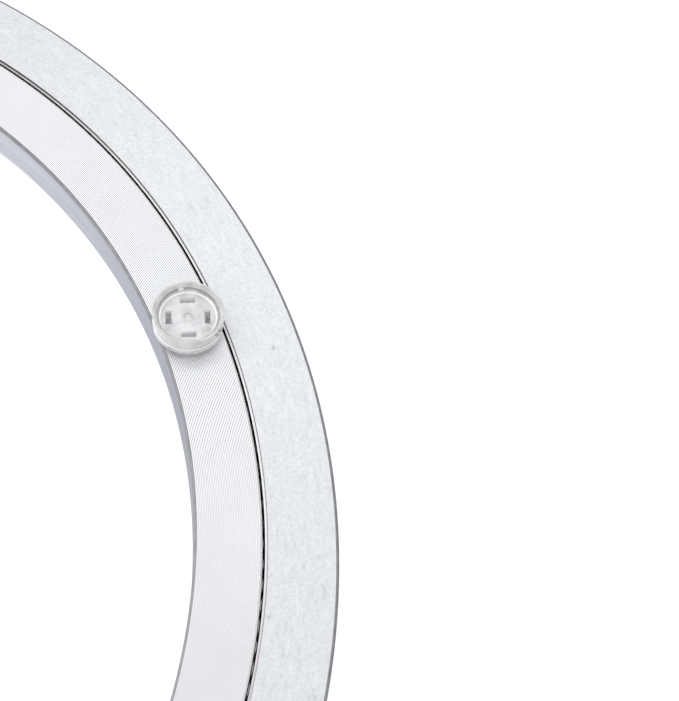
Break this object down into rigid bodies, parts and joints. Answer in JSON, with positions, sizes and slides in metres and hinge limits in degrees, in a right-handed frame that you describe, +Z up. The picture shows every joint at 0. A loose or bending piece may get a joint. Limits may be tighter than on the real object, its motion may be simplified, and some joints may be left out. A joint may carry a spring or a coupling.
{
  "type": "lazy susan bearing",
  "caption": "Flat aluminium turntable bearing: an inner ring turns inside an outer ring on a row of steel balls, with clear bumpers above and below.",
  "frame": {"origin": "on the bearing's axis, at the plane that the feet stand on", "axes": "+Z up along the axis of rotation; +X through the middle of top_bumper_1"},
  "size_m": [0.3, 0.3, 0.021],
  "materials": {
    "satin_aluminium": "satin, faintly mottled",
    "turned_aluminium": "fine concentric turned lines",
    "ball_steel": "polished",
    "screw_steel": "zinc plated",
    "clear_polymer": "clear, slightly frosted"
  },
  "bodies": {
    "base": {"outer_ring": "satin_aluminium", "filler_screw": "screw_steel", "foot_bumper_1": "clear_polymer", "foot_bumper_2": "clear_polymer", "foot_bumper_3": "clear_polymer", "foot_bumper_4": "clear_polymer"},
    "turntable": {"inner_ring": "turned_aluminium", "top_bumper_1": "clear_polymer", "top_bumper_2": "clear_polymer", "top_bumper_3": "clear_polymer", "top_bumper_4": "clear_polymer"},
    "ball_train": {"bearing_balls": "ball_steel"}
  },
  "joints": [
    {"name": "turntable_spin", "type": "hinge", "parent": "base", "child": "turntable", "pos_m": [0, 0, 0.0105], "axis": [0, 0, 1], "continuous": true},
    {"name": "ball_train_roll", "type": "hinge", "parent": "base", "child": "ball_train", "pos_m": [0, 0, 0.0105], "axis": [0, 0, 1], "continuous": true}
  ],
  "couplings": [
    {"joint": "ball_train_roll", "follows": "turntable_spin", "ratio": 0.49263}
  ]
}
